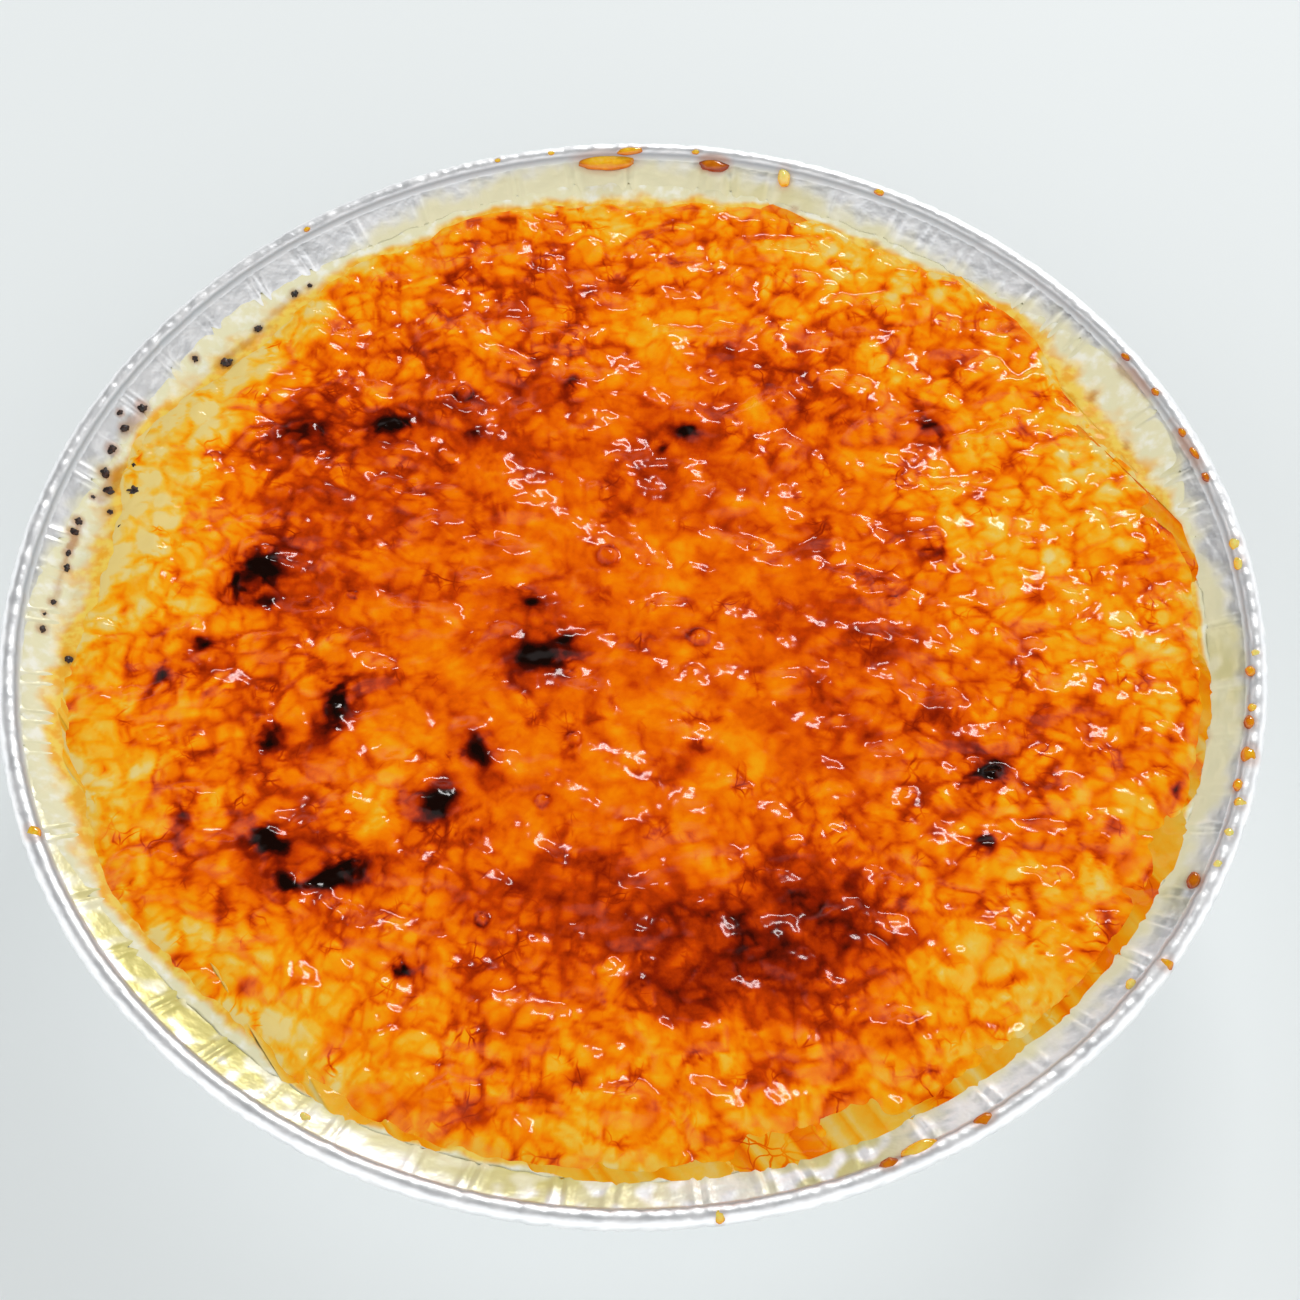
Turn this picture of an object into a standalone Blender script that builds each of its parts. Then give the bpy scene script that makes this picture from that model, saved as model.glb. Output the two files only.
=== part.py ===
"""Creme brulee in its own round foil dish, in metres, +Z up.

The origin is the centre of the dish's flat base, on the surface that it stands on.
Three solids: the dish, pressed from foil and rolled at its edge; the baked custard that fills it;
and the sheet of burnt sugar that lies on the custard.
Lengths in this file are in millimetres until they are multiplied by MM.
"""

import math
from collections import namedtuple

import bmesh
import bpy
from mathutils import Vector, noise

MM = 0.001
GAP = 0.3  # kept between neighbouring solids

# Foil dish
RIM_RADIUS = 60.0
HEIGHT = 22.0
FOIL = 0.25
BASE_RADIUS = 46.0
BASE_CORNER = 0.95  # height and width of the bevel between base and wall
WALL_TOP_RADIUS = 52.9
WALL_TOP_HEIGHT = 17.4
SHOULDER_FOOT_RADIUS = 53.8
SHOULDER_FOOT_HEIGHT = 18.8
GROOVE_RADIUS = 57.7
GROOVE_HEIGHT = 20.4
BEAD_HALF_WIDTH = 1.0
BEAD_HALF_HEIGHT = 0.85
BEAD_ANGLES = (180, 135, 90, 45, 0, -60, -120)  # over the top, round the outside and back under
SEGMENTS = 96
PLEATS = SEGMENTS // 2
PLEAT_DEPTH = 0.3
PLEAT_UNEVENNESS = 0.5

# Custard
CUSTARD_LEVEL = 18.7
CUSTARD_FLAT_RADIUS = 47.0
CUSTARD_SHOULDER_RADIUS = 53.0
CUSTARD_SHOULDER_RISE = 0.45
CUSTARD_EDGE_SHARE = 0.2  # how far up the dish's shoulder the custard reaches
CUSTARD_EDGE_THICKNESS = 0.12

# Caramel crust
CRUST_SEGMENTS = 84
CRUST_RADIUS = 53.4
CRUST_MIN_THICKNESS = 0.5
CRUST_LEVEL = 20.0
CRUST_EDGE_LEVEL = 19.85
CRUST_RINGS = 14
CRUST_ROUNDING = 0.9
BROAD_LUMP_SIZE = 11.0
BROAD_LUMP_HEIGHT = 0.45
SMALL_LUMP_SIZE = 5.0
SMALL_LUMP_HEIGHT = 0.4
# Arcs where the crust stops short of the wall: direction and half width in degrees, depth in mm.
CRUST_RECESSES = (
    (28, 16, 2.6),
    (112, 12, 1.4),
    (138, 18, 3.6),
    (172, 16, 2.4),
    (224, 20, 3.0),
)

# A circle of vertices: its radius and height, and how far a pleat pushes it outwards and upwards.
Ring = namedtuple("Ring", "radius height pleat_out pleat_up")


def blended(low, high, share):
    """The ring that lies this share of the way from one ring to another."""
    return Ring(*(a + (b - a) * share for a, b in zip(low, high)))


def dish_skin():
    """Rings of the dish's upper skin, from the edge of the base to the groove inside the bead."""
    corner = Ring(BASE_RADIUS + BASE_CORNER, FOIL + BASE_CORNER, 0, 0)
    wall_top = Ring(WALL_TOP_RADIUS, WALL_TOP_HEIGHT, PLEAT_DEPTH, 0)
    foot = Ring(SHOULDER_FOOT_RADIUS, SHOULDER_FOOT_HEIGHT, PLEAT_DEPTH / 2, -PLEAT_DEPTH / 2)
    groove = Ring(GROOVE_RADIUS, GROOVE_HEIGHT, 0, 0)
    middle = blended(foot, groove, 0.5)._replace(pleat_out=0, pleat_up=-PLEAT_DEPTH)
    return [
        Ring(BASE_RADIUS, FOIL, 0, 0),
        corner,
        blended(corner, wall_top, 0.5),
        wall_top,
        foot,
        middle,
        groove,
    ]


def bead():
    """Rings of the rolled edge, which curls over, outwards and back under the shoulder."""
    centre_radius = RIM_RADIUS - BEAD_HALF_WIDTH
    centre_height = HEIGHT - BEAD_HALF_HEIGHT
    for degrees in BEAD_ANGLES:
        angle = math.radians(degrees)
        yield Ring(
            centre_radius + BEAD_HALF_WIDTH * math.cos(angle),
            centre_height + BEAD_HALF_HEIGHT * math.sin(angle),
            0,
            0,
        )


def pleat(angle):
    """How far a pleat stands out here, as a share of its depth: alternate folds of uneven depth."""
    around = Vector((math.cos(angle), math.sin(angle), 0)) * 4
    return math.cos(PLEATS * angle) * (1 + PLEAT_UNEVENNESS * noise.noise(around))


def turned(name, rings, segments):
    """Turn a run of rings round Z with a Screw modifier, and return the surface in bmesh form.

    The vertex layer "ring" holds the number of each vertex's ring. A run that ends on the axis
    closes there in a fan, and one that ends off the axis leaves a round hole."""
    mesh = bpy.data.meshes.new(name)
    points = [(ring.radius, 0, ring.height) for ring in rings]
    mesh.from_pydata(points, [(i, i + 1) for i in range(len(points) - 1)], [])
    number = mesh.attributes.new("ring", "INT", "POINT")
    number.data.foreach_set("value", range(len(points)))
    guide = bpy.data.objects.new(name + "_profile", mesh)
    bpy.context.scene.collection.objects.link(guide)
    screw = guide.modifiers.new("Turn", "SCREW")
    screw.steps = screw.render_steps = segments
    screw.use_merge_vertices = True
    screw.merge_threshold = 0.0001
    graph = bpy.context.evaluated_depsgraph_get()
    solid = bpy.data.meshes.new_from_object(guide.evaluated_get(graph))
    bpy.data.objects.remove(guide)
    bpy.data.meshes.remove(mesh)
    shape = bmesh.new()
    shape.from_mesh(solid)
    bpy.data.meshes.remove(solid)
    return shape


def press_pleats(shape, rings):
    """Move each vertex as the pleats push its ring."""
    layer = shape.verts.layers.int["ring"]
    for vertex in shape.verts:
        ring = rings[vertex[layer]]
        share = pleat(math.atan2(vertex.co.y, vertex.co.x))
        radius = vertex.co.xy.length
        if radius:
            vertex.co.xy *= (radius + ring.pleat_out * share) / radius
        vertex.co.z += ring.pleat_up * share


def fill_holes(shape):
    """Close each round hole with one flat face."""
    rim = [edge for edge in shape.edges if edge.is_boundary]
    bmesh.ops.holes_fill(shape, edges=rim, sides=0)


def add_object(name, shape, material, smooth_below):
    """Scale a shape from millimetres to metres and add it to the part as an object."""
    bmesh.ops.scale(shape, vec=(MM, MM, MM), verts=shape.verts)
    mesh = bpy.data.meshes.new(name)
    shape.to_mesh(mesh)
    shape.free()
    mesh.shade_smooth()
    mesh.set_sharp_from_angle(angle=math.radians(smooth_below))
    mesh.materials.append(material)
    item = bpy.data.objects.new(name, mesh)
    bpy.data.collections["creme_brulee"].objects.link(item)
    item.parent = bpy.data.objects["creme_brulee_frame"]
    return item


def make_material(name, colour, roughness, metallic=0.0):
    material = bpy.data.materials.new(name)
    material.use_nodes = True
    shader = material.node_tree.nodes["Principled BSDF"]
    shader.inputs["Base Color"].default_value = (*colour, 1)
    shader.inputs["Roughness"].default_value = roughness
    shader.inputs["Metallic"].default_value = metallic
    return material


def make_dish():
    """The foil dish: one pleated sheet with a rolled edge and a flat base, given its thickness."""
    rings = dish_skin() + list(bead())
    shape = turned("foil_dish", rings, SEGMENTS)
    press_pleats(shape, rings)
    fill_holes_below(shape, WALL_TOP_HEIGHT)
    bmesh.ops.recalc_face_normals(shape, faces=shape.faces)
    foil = make_material("foil", (0.90, 0.90, 0.91), 0.28, 1.0)
    dish = add_object("foil_dish", shape, foil, 60)
    sheet = dish.modifiers.new("Foil", "SOLIDIFY")
    sheet.thickness = FOIL * MM
    sheet.use_even_offset = True
    # The rings are the upper skin, so the thickness goes below and outside it.
    sheet.offset = -1
    return dish


def fill_holes_below(shape, height):
    """Close the round hole whose rim lies below this height with one flat face."""
    rim = [edge for edge in shape.edges if edge.is_boundary and edge.verts[0].co.z < height]
    bmesh.ops.holes_fill(shape, edges=rim, sides=0)


def make_custard():
    """The baked custard: it fills the dish, and its top edge creeps a little way up the shoulder."""
    skin = dish_skin()
    base, corner, middle, wall_top, foot, shoulder = skin[:6]
    side = [
        base._replace(radius=base.radius - GAP / 2, height=base.height + GAP),
        corner._replace(radius=corner.radius - GAP, height=corner.height + GAP / 2),
        middle._replace(radius=middle.radius - GAP * 1.2),
        wall_top._replace(radius=wall_top.radius - GAP * 1.2),
        foot._replace(radius=foot.radius - GAP, height=foot.height + GAP),
    ]
    reach = blended(foot, shoulder, 2 * CUSTARD_EDGE_SHARE)
    lip = reach._replace(height=reach.height + GAP * 1.3)
    top = [
        lip._replace(height=lip.height + CUSTARD_EDGE_THICKNESS),
        Ring(CUSTARD_SHOULDER_RADIUS, CUSTARD_LEVEL + CUSTARD_SHOULDER_RISE, 0, 0),
        Ring(CUSTARD_FLAT_RADIUS, CUSTARD_LEVEL, 0, 0),
    ]
    rings = side + [lip] + top
    shape = turned("custard", rings, SEGMENTS)
    press_pleats(shape, rings)
    fill_holes(shape)
    bmesh.ops.recalc_face_normals(shape, faces=shape.faces)
    cream = make_material("custard", (0.84, 0.72, 0.45), 0.45)
    return add_object("custard", shape, cream, 40)


def crust_reach(angle):
    """Radius of the crust's outline in this direction."""
    degrees = math.degrees(angle) % 360
    reach = CRUST_RADIUS
    for centre, half_width, depth in CRUST_RECESSES:
        away = abs((degrees - centre + 180) % 360 - 180) / half_width
        if away < 1:
            reach -= depth * math.cos(away * math.pi / 2) ** 2
    wobble = Vector((math.cos(angle), math.sin(angle), 2)) * 5
    return reach + 0.5 * noise.noise(wobble)


def lumps(x, y):
    """Height of the melted lumps above the crust's mean level."""
    broad = noise.noise(Vector((x, y, 3)) / BROAD_LUMP_SIZE)
    small = noise.noise(Vector((x, y, 40)) / SMALL_LUMP_SIZE)
    return BROAD_LUMP_HEIGHT * broad + SMALL_LUMP_HEIGHT * abs(small)


def make_crust():
    """The caramel: a thin disc with an uneven outline, lying just above the custard."""
    underside = CUSTARD_LEVEL + GAP
    edge_underside = underside + CUSTARD_SHOULDER_RISE
    rings = [
        Ring(CUSTARD_FLAT_RADIUS - 1, underside, 0, 0),
        Ring(CRUST_RADIUS, edge_underside, 0, 0),
        Ring(CRUST_RADIUS - CRUST_ROUNDING / 3, CRUST_EDGE_LEVEL, 0, 0),
    ]
    first_top_ring = len(rings)
    inner = CRUST_RADIUS - CRUST_ROUNDING
    for step in range(CRUST_RINGS + 1):
        rings.append(Ring(inner * (1 - step / CRUST_RINGS), CRUST_LEVEL, 0, 0))
    shape = turned("caramel_crust", rings, CRUST_SEGMENTS)
    layer = shape.verts.layers.int["ring"]
    for vertex in shape.verts:
        radius = vertex.co.xy.length
        if radius:
            angle = math.atan2(vertex.co.y, vertex.co.x)
            vertex.co.xy *= crust_reach(angle) / CRUST_RADIUS
        if vertex[layer] >= first_top_ring:
            height = vertex.co.z + lumps(vertex.co.x, vertex.co.y)
            vertex.co.z = max(height, underside + CRUST_MIN_THICKNESS)
    fill_holes(shape)
    bmesh.ops.recalc_face_normals(shape, faces=shape.faces)
    caramel = make_material("caramel", (0.78, 0.27, 0.015), 0.15)
    return add_object("caramel_crust", shape, caramel, 50)


def main():
    for item in list(bpy.data.objects):
        bpy.data.objects.remove(item)
    part = bpy.data.collections.new("creme_brulee")
    bpy.context.scene.collection.children.link(part)
    part.objects.link(bpy.data.objects.new("creme_brulee_frame", None))
    make_dish()
    make_custard()
    make_crust()


main()
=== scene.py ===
"""Looks of the creme brulee: a burnt sugar crust on baked custard, in a round foil dish.

Lengths are in millimetres, with the dish's centre as origin and the floor at 0. They become
metres where a mesh is written. Places on the crust are (x, y) seen from above, +Y away from
the camera.
"""

import math

import bmesh
import bpy
import numpy as np
from mathutils import Matrix, Vector


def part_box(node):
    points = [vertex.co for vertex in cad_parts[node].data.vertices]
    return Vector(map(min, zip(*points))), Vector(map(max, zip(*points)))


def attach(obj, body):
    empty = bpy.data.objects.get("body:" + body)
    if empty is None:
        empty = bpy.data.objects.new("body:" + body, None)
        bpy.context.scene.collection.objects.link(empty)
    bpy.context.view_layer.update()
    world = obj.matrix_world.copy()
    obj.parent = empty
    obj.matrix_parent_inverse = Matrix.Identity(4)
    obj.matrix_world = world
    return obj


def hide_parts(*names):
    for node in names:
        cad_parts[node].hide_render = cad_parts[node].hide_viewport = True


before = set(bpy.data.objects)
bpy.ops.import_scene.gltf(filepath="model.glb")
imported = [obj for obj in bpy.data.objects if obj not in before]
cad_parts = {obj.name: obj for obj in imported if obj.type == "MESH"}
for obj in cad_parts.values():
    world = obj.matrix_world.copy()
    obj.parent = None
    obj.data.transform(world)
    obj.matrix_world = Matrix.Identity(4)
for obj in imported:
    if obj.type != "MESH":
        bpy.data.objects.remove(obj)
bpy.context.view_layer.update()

MM = 0.001


def node_box(node):
    """Lowest and highest corners of a CAD node, in millimetres."""
    low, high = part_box(node)
    return np.array(low) / MM, np.array(high) / MM


# Dish
RIM_RADIUS, _, RIM_TOP = node_box("foil_dish")[1]
BEAD_HALF_WIDTH = 0.98
BEAD_HALF_HEIGHT = 0.82
SHOULDER_TOP = (58.15, 21.2)  # radius and height where the shoulder meets the bead
SHOULDER_FOOT = (53.8, 18.8)
WALL_TOP = (52.9, 17.4)
BASE_RADIUS = 46.0
BASE_CORNER = 0.95
FOIL = 0.14  # thickness
SMEAR_REACH = 55.0  # radius that the smears on the foil climb to where no arc says otherwise
DISH_SEGMENTS = 960

# The bead stays just inside the CAD model's box.
BEAD_CENTRE = (RIM_RADIUS - BEAD_HALF_WIDTH - 0.02, RIM_TOP - BEAD_HALF_HEIGHT - 0.02)

# Filling
CUSTARD_LEVEL = node_box("caramel_crust")[0][2] + 0.3
CUSTARD_INNER = 44.0  # radius of the flat face that closes the custard under the crust
CUSTARD_ROWS = 46
FILM_REACH = 54.9  # radius that the custard's film climbs to where no arc says otherwise
CRUST_THICKNESS = 0.55
CRUST_DEPTH = 0.6  # how far below the custard's top the crust's hidden underside lies
CRUST_REACH = 54.6  # radius of the crust where no arc cuts it back
CRUST_OVERLAP = 0.8  # how far the crust's hidden edge runs on under the custard
CRUST_GRID = 312
LUMP_SIZE = 3.4
SMALL_LUMP_SIZE = 1.7

# Places where the crust is burnt: x, y, radius, strength. Strength below 0 is paler than the rest.
BURNS = (
    (-30, 14, 13, 0.55),
    (-33, 25, 7, 0.45),
    (-14, 24, 11, 0.5),
    (3, 19, 9, 0.6),
    (16, 29, 8, 0.5),
    (20, 8, 12, 0.25),
    (-8, 42, 7, 0.45),
    (5, 43, 6, 0.3),
    (-19, 45, 6, 0.4),
    (-8, -1, 10, 0.35),
    (17, -5, 10, 0.3),
    (26, -14, 8, 0.25),
    (15, -31, 9, 1.4),
    (5, -33, 8, 1.2),
    (-8, -30, 8, 0.8),
    (-1, -24, 7, 0.35),
    (30, -38, 7, 0.2),
    (-42, -7, 8, 0.25),
    (-30, -24, 8, 0.25),
    (-44, -22, 6, 0.1),
    (38, 13, 15, -0.6),
    (46, -4, 10, -0.35),
    (21, 44, 9, -0.5),
    (3, 35, 6, -0.4),
    (-46, 20, 10, -0.8),
    (-48, 7, 10, -0.8),
    (-47, -12, 9, -0.6),
    (-30, -42, 12, -0.6),
    (33, -36, 10, -0.65),
    (45, -22, 8, -0.4),
    (-30, 0, 12, 0.15),
    (-27, -14, 10, 0.15),
    (2, 38, 12, -0.2),
    (28, 30, 12, -0.2),
    (-23, -12, 6, -0.35),
    (-25, -19, 5, -0.35),
    (8, -16, 6, -0.25),
    (0, -49, 12, -0.35),
    (-41, 32, 9, -0.75),
)

# Charred spots: x, y, half length, half width, direction of the length in degrees, darkness.
CHARS = (
    (-36.6, 6.3, 3.0, 2.2, 70, 1.0),
    (-35.2, 3.2, 1.6, 1.2, 80, 0.7),
    (-24.0, 24.0, 2.2, 1.3, 0, 0.9),
    (-33.0, 24.0, 3.4, 1.9, 10, 0.38),
    (-15.5, 23.0, 1.3, 0.8, 20, 0.5),
    (5.5, 23.0, 1.2, 0.9, 0, 0.9),
    (3.0, 21.0, 1.0, 0.6, 40, 0.4),
    (-7.3, 33.5, 1.8, 1.1, 20, 0.35),
    (29.5, 23.7, 2.2, 1.6, 160, 0.8),
    (29.5, 8.5, 1.4, 0.8, 10, 0.3),
    (-8.7, -3.0, 2.8, 2.0, 25, 1.0),
    (-6.5, -1.2, 1.8, 0.9, 20, 0.6),
    (-9.7, 2.9, 1.0, 0.9, 0, 0.75),
    (-27.8, -8.4, 2.5, 1.3, 80, 1.0),
    (-34.0, -12.0, 1.9, 1.3, 70, 0.8),
    (-14.3, -13.5, 3.2, 1.3, 112, 1.0),
    (-17.8, -18.6, 2.3, 1.8, 10, 1.0),
    (-14.3, -21.8, 1.2, 1.0, 0, 0.6),
    (-41.3, -20.4, 1.3, 1.1, 0, 0.7),
    (-33.3, -22.6, 2.4, 1.2, 145, 0.95),
    (-27.0, -26.2, 3.6, 1.2, 18, 0.95),
    (-30.8, -27.0, 1.6, 1.0, 150, 0.8),
    (4.5, -15.3, 2.5, 1.0, 55, 0.4),
    (32.8, -15.5, 1.9, 1.6, 0, 0.9),
    (32.4, -23.2, 1.1, 1.0, 90, 0.75),
    (-33.7, -36.8, 1.4, 1.1, 0, 0.5),
    (-20.3, -35.5, 1.1, 0.9, 0, 0.75),
    (-40.0, -34.5, 1.8, 1.0, 160, 0.4),
    (43.8, 29.5, 1.5, 0.8, 60, 0.5),
    (51.3, -11.5, 1.6, 0.8, 80, 0.4),
    (50.0, -17.5, 2.4, 0.9, 65, 0.4),
    (-44.3, -4.8, 1.7, 0.9, 60, 0.5),
    (-40.9, -1.5, 1.5, 0.7, 160, 0.5),
    (14.0, -29.0, 2.2, 1.4, 150, 0.16),
    (19.5, -27.0, 1.8, 1.2, 30, 0.14),
    (12.0, -34.5, 2.0, 1.2, 10, 0.14),
    (3.5, -37.5, 2.2, 1.3, 10, 0.12),
    (1.0, -31.0, 2.6, 1.4, 160, 0.12),
    (21.5, -12.5, 1.4, 0.7, 50, 0.25),
    (17.5, -8.5, 1.6, 0.8, 30, 0.25),
    (-6.0, 29.5, 1.5, 0.8, 70, 0.35),
)

# Arcs where the crust stops short of the wall and custard shows: direction and half width in
# degrees, depth.
PALE_ARCS = (
    (28, 17, 3.0),
    (60, 14, 1.2),
    (90, 22, 1.5),
    (116, 12, 1.6),
    (138, 20, 3.2),
    (172, 18, 3.0),
    (200, 14, 0.8),
    (226, 18, 1.6),
    (256, 12, 0.6),
    (0, 10, 0.5),
)

# Arcs where the sugar is thin, so that the custard shows through: direction and half width in
# degrees, strength.
THIN_ARCS = (
    (215, 34, 0.9),
    (150, 24, 0.5),
    (60, 24, 0.4),
    (345, 22, 0.35),
    (288, 50, 0.5),
)

# Arcs where a film of custard climbs the foil: direction and half width in degrees, climb.
FILM_ARCS = (
    (188, 42, 3.6),
    (140, 20, 1.6),
    (28, 26, 3.2),
    (92, 34, 1.0),
)

# Arcs where the foil is crumpled: direction and half width in degrees, how much more than elsewhere.
CRUMPLED_ARCS = (
    (350, 22, 3.0),
    (118, 34, -0.75),
)

# Arcs where a smear of custard dulls the shoulder: direction and half width in degrees, climb.
SMEAR_ARCS = (
    (92, 46, 3.0),
    (195, 55, 3.4),
    (30, 24, 3.0),
    (255, 20, 2.2),
    (350, 34, 2.8),
    (315, 22, 1.2),
    (128, 14, -1.0),
)

# Arcs where thin syrup has run onto the foil: direction and half width in degrees, strength.
SYRUP_ARCS = (
    (288, 14, 1.0),
    (272, 8, 0.5),
    (355, 8, 0.5),
    (330, 5, 0.5),
    (225, 34, 1.2),
    (262, 14, 0.9),
    (75, 10, 0.35),
    (20, 6, 0.3),
)

# Black beads of burnt sugar on the pale margin: x, y, diameter.
SPECKS = (
    (-41.4, 32.4, 1.35),
    (-38.5, 36.8, 0.9),
    (-35.0, 41.3, 0.9),
    (-44.6, 32.7, 0.9),
    (-49.3, 26.3, 1.2),
    (-50.8, 23.7, 1.0),
    (-51.3, 25.2, 0.7),
    (-51.8, 21.2, 1.1),
    (-52.3, 18.5, 1.2),
    (-51.8, 16.6, 1.2),
    (-49.3, 16.6, 1.5),
    (-44.5, 24.0, 0.7),
    (-45.6, 22.4, 0.7),
    (-49.6, 19.7, 0.6),
    (-54.3, 12.6, 1.0),
    (-54.6, 11.3, 1.1),
    (-54.9, 8.9, 0.8),
    (-54.9, 7.3, 0.9),
    (-51.4, 14.1, 0.7),
    (-53.2, 15.6, 0.6),
    (-55.7, 3.2, 0.8),
    (-56.3, 1.7, 0.5),
    (-56.3, 0.0, 0.9),
    (-53.6, -2.9, 1.0),
    (-33.5, 42.4, 0.6),
    (-50.2, 12.4, 0.6),
)

# Caramel that splashed on the foil: x, y, half length, half width, direction in degrees, tone
# from 0, yellow, to 1, dark amber.
SPLASHES = (
    (-2.7, 57.6, 3.1, 1.0, 2, 0.45),
    (-0.2, 58.6, 1.5, 0.5, 8, 0.5),
    (8.7, 57.1, 1.6, 0.8, -8, 0.9),
    (6.8, 58.3, 0.5, 0.35, 0, 0.45),
    (16.1, 55.4, 0.7, 1.2, 0, 0.1),
    (26.0, 52.6, 0.6, 0.4, -25, 0.45),
    (-8.6, 58.2, 0.4, 0.3, 0, 0.35),
    (-14.2, 57.2, 0.4, 0.3, 0, 0.4),
    (-33.9, 47.9, 0.4, 0.3, 40, 0.5),
    (49.8, 30.7, 0.6, 0.35, -50, 0.8),
    (52.4, 26.3, 0.6, 0.4, -55, 0.7),
    (54.5, 21.3, 0.6, 0.4, -65, 0.7),
    (55.4, 18.8, 0.8, 0.35, -65, 0.7),
    (56.2, 15.9, 0.6, 0.4, -70, 0.8),
    (58.2, 8.2, 0.9, 0.6, 90, 0.15),
    (58.3, 5.9, 0.8, 0.6, 90, 0.2),
    (58.7, -4.3, 0.5, 0.5, 90, 0.05),
    (57.9, -6.2, 0.55, 0.5, 90, 0.6),
    (57.6, -10.2, 0.45, 0.45, 90, 0.35),
    (57.2, -11.7, 0.75, 0.6, 90, 0.75),
    (56.8, -15.2, 1.15, 0.85, 85, 0.6),
    (55.3, -18.3, 0.65, 0.5, 80, 0.55),
    (55.3, -20.2, 0.75, 0.6, 70, 0.3),
    (54.0, -23.3, 0.7, 0.6, 70, 0.1),
    (52.6, -26.4, 0.6, 0.5, 60, 0.05),
    (50.4, -27.6, 0.9, 0.7, 70, 0.85),
    (46.8, -36.1, 0.8, 0.7, 50, 0.6),
    (43.7, -37.7, 0.6, 0.45, 50, 0.2),
    (29.9, -50.5, 1.1, 0.6, 30, 0.8),
    (24.2, -53.0, 1.7, 0.7, 22, 0.35),
    (21.6, -54.4, 0.9, 0.6, 20, 0.85),
    (7.2, -58.8, 0.7, 0.5, 90, 0.3),
    (-28.1, -49.5, 0.6, 0.4, -30, 0.15),
    (-54.3, -22.6, 1.0, 0.75, 120, 0.45),
)

# Brown stains at the edge of the custard and on the foil: x, y, half length, half width, direction
# in degrees, strength.
STAINS = (
    (-51.5, 17.5, 3.5, 1.0, 70, 0.55),
    (-50.0, 24.5, 2.4, 0.8, 60, 0.5),
    (-54.6, 10.0, 3.2, 0.5, 80, 0.7),
    (-55.4, 5.0, 2.2, 0.4, 85, 0.4),
    (-40.0, 34.5, 5.0, 0.5, 45, 0.35),
    (-36.0, 40.0, 4.0, 0.5, 50, 0.25),
    (-46.0, 23.0, 1.6, 0.7, 20, 0.35),
    (50.3, 28.5, 3.5, 0.7, -58, 0.45),
    (55.0, 19.5, 3.6, 0.6, -68, 0.5),
    (53.2, -12.0, 1.6, 0.8, 80, 0.4),
    (46.5, 27.5, 0.9, 0.5, 60, 0.6),
    (49.3, 21.5, 1.0, 0.4, 80, 0.5),
    (52.0, 12.5, 0.7, 0.4, 30, 0.5),
    (25.5, 47.5, 0.7, 0.5, 0, 0.5),
    (17.0, 52.2, 0.7, 0.5, 0, 0.4),
)

# Small bubbles of set sugar on the crust: x, y, diameter.
BUBBLES = (
    (-2.4, 8.3, 2.0),
    (-17.0, 28.0, 1.7),
    (6.3, -1.0, 1.8),
    (33.2, -15.9, 1.2),
    (-8.3, -18.5, 1.2),
    (-5.5, -12.0, 1.3),
    (-13.5, -30.5, 1.1),
    (25.0, 3.0, 1.1),
    (-27.0, 4.0, 0.9),
    (12.0, 9.5, 1.0),
    (-18.5, -27.5, 0.9),
    (1.8, 2.5, 0.9),
    (-53.2, -3.2, 1.5),
)


# ---------------------------------------------------------------- numbers


def smooth(value, low, high):
    """0 below low, 1 above high, and an S between them."""
    share = np.clip((value - low) / (high - low), 0, 1)
    return share * share * (3 - 2 * share)


def soft_noise(x, y, size, seed):
    """Smooth random heights, mostly from -1 to 1, with bumps about this size."""
    turn = np.random.default_rng(seed).uniform(0, 2 * math.pi, (256, 256))
    slope_x, slope_y = np.cos(turn), np.sin(turn)
    u, v = x / size, y / size
    i, j = np.floor(u).astype(int), np.floor(v).astype(int)
    s, t = u - i, v - j

    def corner(a, b):
        at = (i + a) % 256, (j + b) % 256
        return slope_x[at] * (s - a) + slope_y[at] * (t - b)

    ease_s, ease_t = (share**3 * (share * (share * 6 - 15) + 10) for share in (s, t))
    low = corner(0, 0) * (1 - ease_s) + corner(1, 0) * ease_s
    high = corner(0, 1) * (1 - ease_s) + corner(1, 1) * ease_s
    return 1.6 * (low * (1 - ease_t) + high * ease_t)


def bent(x, y, size, amount, seed):
    """The places pushed about by noise."""
    return (
        x + amount * soft_noise(x, y, size, seed),
        y + amount * soft_noise(x, y, size, seed + 1),
    )


def cells(x, y, size, seed):
    """Rounded random lumps about this size: how far each place is from a lump's middle and from the
    border with the next lump, both in lumps, and a random number for each lump."""
    jitter = np.random.default_rng(seed).uniform(0, 1, (3, 256, 256))
    u, v = x / size, y / size
    i, j = np.floor(u).astype(int), np.floor(v).astype(int)
    nearest, second = np.full(x.shape, 9.0), np.full(x.shape, 9.0)
    chance = np.zeros(x.shape)
    for a in (-1, 0, 1):
        for b in (-1, 0, 1):
            at = (i + a) % 256, (j + b) % 256
            away = np.hypot(i + a + jitter[0][at] - u, j + b + jitter[1][at] - v)
            closer = away < nearest
            second = np.where(closer, nearest, np.minimum(second, away))
            chance = np.where(closer, jitter[2][at], chance)
            nearest = np.where(closer, away, nearest)
    return nearest, second - nearest, chance


def creases(x, y, size, seed):
    """Random sharp crests from 0 to 1, as in crumpled foil."""
    return 1 - np.abs(soft_noise(x, y, size, seed)) - 0.5 * np.abs(soft_noise(x, y, size / 2, seed + 1))


def around(angle, arcs):
    """Sum of humps along the rim. Each arc gives a direction, a half width in degrees and a height."""
    degrees = np.degrees(angle)
    total = np.zeros_like(degrees)
    for centre, half_width, height in arcs:
        away = np.abs((degrees - centre + 180) % 360 - 180) / half_width
        total += height * (1 - smooth(away, 0, 1))
    return total


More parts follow.
